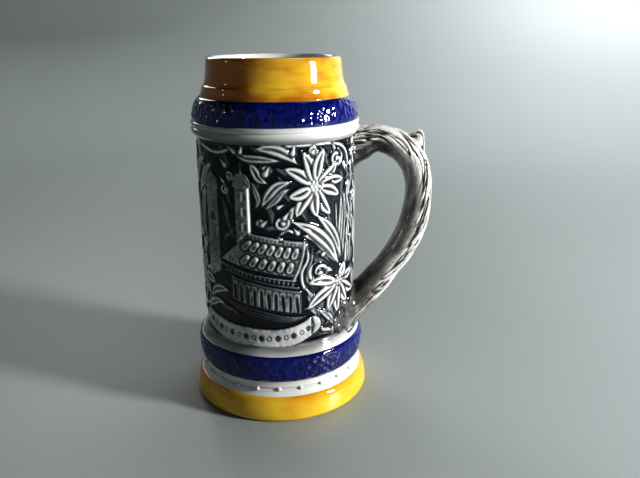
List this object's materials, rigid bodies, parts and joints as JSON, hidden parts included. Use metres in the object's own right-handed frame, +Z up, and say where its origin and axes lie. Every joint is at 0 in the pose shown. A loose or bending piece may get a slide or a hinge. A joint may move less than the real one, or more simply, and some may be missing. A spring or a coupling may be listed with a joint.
{
  "type": "beer stein",
  "caption": "Tall lidless ceramic beer stein with a moulded relief barrel between coloured glaze bands, a flared foot and a branch-shaped side handle with a thumb stub.",
  "frame": {"origin": "centre of the flat base, on the table", "axes": "+Z up along the vessel's axis, +X towards the handle"},
  "size_m": [0.138, 0.102, 0.19],
  "materials": {
    "white_glaze": "gloss",
    "yellow_glaze": "gloss",
    "blue_glaze": "gloss",
    "antiqued_glaze": "gloss",
    "bare_clay": "matte"
  },
  "bodies": {
    "root": {"stein_body": "white_glaze", "handle": "antiqued_glaze", "upper_slip_joint": "antiqued_glaze", "lower_slip_joint": "antiqued_glaze"}
  },
  "joints": []
}
